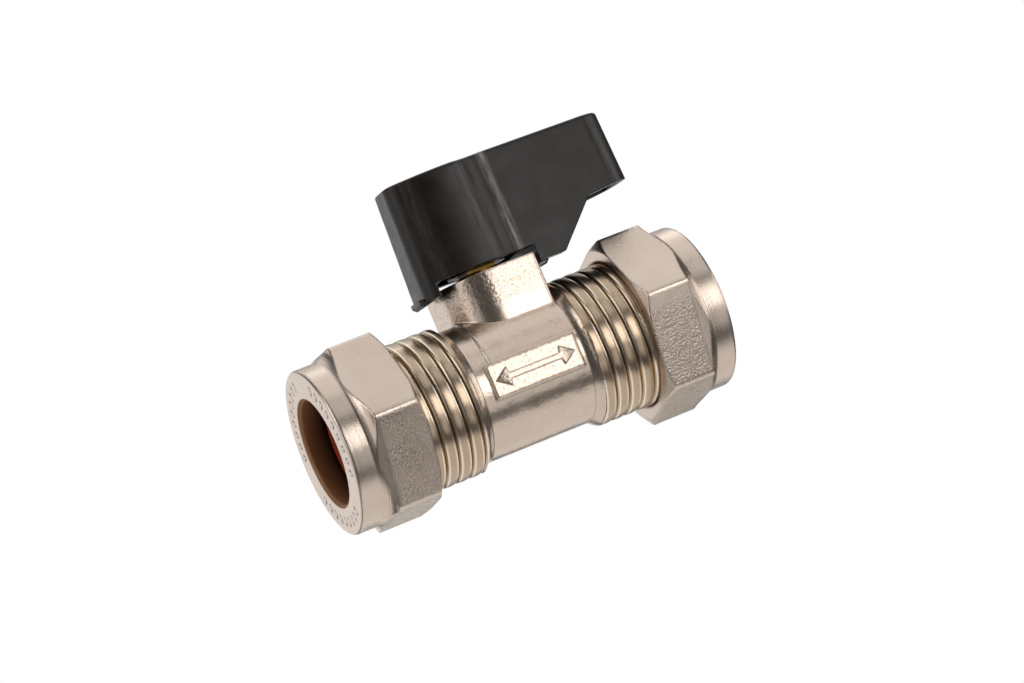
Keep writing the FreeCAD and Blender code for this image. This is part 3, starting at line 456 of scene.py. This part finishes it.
def turn_faces_out():
    """In edit mode, point all faces of the piece outwards, and leave edit mode."""
    bpy.ops.mesh.select_all(action="SELECT")
    bpy.ops.mesh.normals_make_consistent(inside=False)
    bpy.ops.object.mode_set(mode="OBJECT")


def finish_piece(piece, mat, smooth_below):
    """Smooth a new piece up to an angle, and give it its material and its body."""
    bpy.ops.object.shade_smooth_by_angle(angle=smooth_below)
    piece.data.materials.clear()
    piece.data.materials.append(mat)
    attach(piece, "body")
    bpy.ops.object.select_all(action="DESELECT")


def draw_section(name, points):
    """A closed outline of (along the pipe, radius) points in front of the axis, drawn point by point."""
    bpy.ops.mesh.primitive_plane_add(size=MM)
    piece = bpy.context.object
    piece.name = name
    bpy.ops.object.mode_set(mode="EDIT")
    bpy.ops.mesh.merge(type="CENTER")
    bpy.ops.transform.translate(value=(points[0][0], -points[0][1], 0))
    for here, there in zip(points, points[1:]):
        step = (there[0] - here[0], here[1] - there[1], 0)
        bpy.ops.mesh.extrude_vertices_move(TRANSFORM_OT_translate={"value": step})
    bpy.ops.mesh.select_all(action="SELECT")
    bpy.ops.mesh.edge_face_add()
    bpy.ops.mesh.delete(type="ONLY_FACE")
    bpy.ops.object.mode_set(mode="OBJECT")
    return piece


def sweep_section(piece, pitch, turns):
    """Sweep the outline round the pipe axis: a ring where the pitch is 0, and else a screw."""
    screw = piece.modifiers.new("turns", "SCREW")
    screw.axis = "X"
    screw.screw_offset = pitch
    screw.iterations = turns
    screw.steps = screw.render_steps = TURN_STEPS
    screw.use_merge_vertices = pitch == 0
    screw.merge_threshold = 0.001 * MM
    bpy.ops.object.modifier_apply(modifier=screw.name)


def thread(name, start, end, turn_mid):
    """A right-hand thread: one broad turn with narrow groove sides, swept along the spigot and trimmed."""
    turns = math.ceil((end - start) / THREAD_PITCH) + 2
    first = turn_mid - math.ceil((turn_mid - start) / THREAD_PITCH + 1) * THREAD_PITCH
    left_half = [(across * MM, THREAD_CREST - drop * MM) for across, drop in THREAD_FORM]
    right_half = [(-across, radius) for across, radius in reversed(left_half)]
    piece = draw_section(name, [(first + across, radius) for across, radius in left_half + right_half])
    sweep_section(piece, THREAD_PITCH, turns)
    bpy.ops.object.mode_set(mode="EDIT")
    for place, way in ((start, -1), (end, 1)):
        bpy.ops.mesh.select_all(action="SELECT")
        bpy.ops.mesh.bisect(plane_co=(place, 0, 0), plane_no=(way, 0, 0), clear_outer=True)
        # The cut's rim is closed by hand, because bisect's own fill also closes the bore
        bpy.ops.mesh.select_all(action="DESELECT")
        bpy.ops.mesh.select_non_manifold(use_wire=False, use_multi_face=False,
                                         use_non_contiguous=False, use_verts=False)
        bpy.ops.mesh.edge_face_add()
    turn_faces_out()
    finish_piece(piece, plated_thread, TURNED_SMOOTH)


def run_out(name, shoulder, way):
    """The soft rise from the barrel to the first turn of the thread."""
    points = [(shoulder + way * across * MM, radius * MM) for across, radius in RUN_OUT_FORM]
    piece = draw_section(name, points)
    sweep_section(piece, 0.0, 1)
    bpy.ops.object.mode_set(mode="EDIT")
    turn_faces_out()
    finish_piece(piece, plated_body, TURNED_SMOOTH)


def flow_arrow():
    """A raised two-way arrow on the flat: the ball passes water either way."""
    near = 0.01 * MM
    bpy.ops.mesh.primitive_plane_add(size=1)
    piece = bpy.context.object
    piece.name = "flow_arrow"
    bpy.ops.object.mode_set(mode="EDIT")
    bpy.ops.transform.rotate(value=math.pi / 2, orient_axis="X", center_override=(0, 0, 0))
    bpy.ops.transform.resize(value=(2 * ARROW_SHAFT, 1, ARROW_THICK), center_override=(0, 0, 0))
    for way in (-1, 1):
        pick_vertices(piece, lambda co: abs(co.x - way * ARROW_SHAFT) < near)
        bpy.ops.mesh.extrude_edges_move(TRANSFORM_OT_translate={"value": (way * ARROW_BARB, 0, 0)})
        bpy.ops.transform.resize(value=(1, 1, ARROW_HEAD / ARROW_THICK))
        bpy.ops.mesh.extrude_edges_move(TRANSFORM_OT_translate={"value": (way * ARROW_POINT, 0, 0)})
        bpy.ops.transform.resize(value=(1, 1, ARROW_BLUNT))
    bpy.ops.mesh.select_all(action="SELECT")
    bpy.ops.transform.translate(value=(PAD_MID, ARROW_SUNK - PAD_FACE, 0))
    bpy.ops.object.mode_set(mode="OBJECT")
    thick = piece.modifiers.new("rise", "SOLIDIFY")
    thick.thickness = ARROW_RISE + ARROW_SUNK
    thick.offset = -1
    bpy.ops.object.modifier_apply(modifier=thick.name)
    bpy.ops.object.mode_set(mode="EDIT")
    turn_faces_out()
    bevel = piece.modifiers.new("soft edges", "BEVEL")
    bevel.width = ARROW_EDGE
    bevel.segments = 3
    bpy.ops.object.modifier_apply(modifier=bevel.name)
    finish_piece(piece, plated_body, ARROW_SMOOTH)


thread("left_thread", LEFT_SPIGOT + SPIGOT_RIM, LEFT_SHOULDER, LEFT_TURN)
thread("right_thread", RIGHT_SHOULDER, RIGHT_SPIGOT - SPIGOT_RIM, RIGHT_TURN)
run_out("left_run_out", LEFT_SHOULDER, -1)
run_out("right_run_out", RIGHT_SHOULDER, 1)
flow_arrow()

# Studio, in metres: a pale floor well below, a white surround and soft panels
FLOOR_RADIUS = 0.15
FLOOR_PLACE = (PIPE_MID, 0.07, -0.12)
PANEL_AIM = Vector((PIPE_MID, 0, 0.004))
PANEL_DISTANCE = 0.5
WHITE = linear("#ffffff")


def pale_floor():
    """A matt floor that glows a little, so that it stays pale below the valve."""
    bpy.ops.mesh.primitive_circle_add(vertices=96, radius=FLOOR_RADIUS, fill_type="NGON",
                                      location=(0, 0, 0))
    floor = bpy.context.object
    floor.name = "floor"
    floor.data.transform(Matrix.Translation(FLOOR_PLACE))
    mat, tree, shader, _ = material("pale studio floor")
    plug(tree, shader, {"Base Color": linear("#f6f5f3"), "Roughness": 0.8,
                        "Emission Color": WHITE, "Emission Strength": 0.24})
    floor.data.materials.append(mat)


def white_surround():
    """White where the camera sees past the valve, and dim in the metal's reflections."""
    world = bpy.data.worlds.new("studio")
    scene.world = world
    world.use_nodes = True
    sky = world.node_tree
    dim = sky.nodes["Background"]
    plug(sky, dim, {"Color": WHITE, "Strength": 0.08})
    to_camera = add(sky, "ShaderNodeLightPath", out="Is Camera Ray")
    white = add(sky, "ShaderNodeBackground", {"Color": WHITE, "Strength": 1.0})
    mixed = add(sky, "ShaderNodeMixShader", {0: to_camera, 1: dim.outputs[0], 2: white})
    plug(sky, sky.nodes["World Output"], {"Surface": mixed})


def panel(name, way, width, height, glow):
    """A soft rectangular panel that faces the valve from one side; glow is how bright its face looks."""
    data = bpy.data.lights.new(name, "AREA")
    data.shape = "RECTANGLE"
    data.size = width
    data.size_y = height
    data.energy = glow * math.pi * width * height
    lamp = bpy.data.objects.new(name, data)
    scene.collection.objects.link(lamp)
    way = Vector(way).normalized()
    turned = way.to_track_quat("Z", "Y").to_matrix().to_4x4()
    lamp.matrix_world = Matrix.Translation(PANEL_AIM + way * PANEL_DISTANCE) @ turned
    lamp.visible_camera = False


pale_floor()
white_surround()
panel("front_key", (0.33, -0.94, 0.03), 0.26, 0.25, 2.7)
panel("front_low", (0.32, -0.82, -0.47), 0.2, 0.2, 0.8)
panel("front_high", (0.32, -0.66, 0.66), 0.3, 0.22, 0.85)
panel("overhead", (0.25, 0.05, 0.95), 0.6, 0.6, 0.9)
panel("back_high", (0.15, 0.65, 0.72), 0.6, 0.3, 0.8)
panel("back_wall", (-0.05, 0.99, 0.05), 0.9, 0.36, 0.9)
panel("left_wall", (-0.95, 0.12, 0.05), 0.6, 0.5, 0.7)
panel("left_high", (-0.8, -0.26, 0.55), 0.24, 0.24, 2.0)
panel("left_low", (-0.9, -0.42, 0.08), 0.26, 0.3, 0.4)
panel("right_side", (0.9, -0.38, 0.05), 0.36, 0.3, 1.6)

# Camera at the photograph's angle: to the left, slightly below the axis, and rolled; metres, lens in mm
AZIMUTH = math.radians(-18.97)
ELEVATION = math.radians(-3.28)
ROLL = math.radians(-22.62)
DISTANCE = 0.47525
RISE = 0.0052
LENS = 119.53
SENSOR = 36.0


def photo_camera():
    """The camera, at the place solved from the photograph."""
    back = Vector((math.sin(AZIMUTH) * math.cos(ELEVATION), -math.cos(AZIMUTH) * math.cos(ELEVATION),
                   math.sin(ELEVATION)))
    level = Vector((math.cos(AZIMUTH), math.sin(AZIMUTH), 0))
    upright = back.cross(level)
    side = level * math.cos(ROLL) + upright * math.sin(ROLL)
    top = upright * math.cos(ROLL) - level * math.sin(ROLL)
    turn = Matrix((side, top, back)).transposed().to_4x4()
    data = bpy.data.cameras.new("camera")
    data.sensor_width = SENSOR
    data.lens = LENS
    data.clip_start = 0.01
    camera = bpy.data.objects.new("camera", data)
    scene.collection.objects.link(camera)
    camera.matrix_world = Matrix.Translation(Vector((PIPE_MID, 0, 0)) + back * DISTANCE + top * RISE) @ turn
    scene.camera = camera


photo_camera()
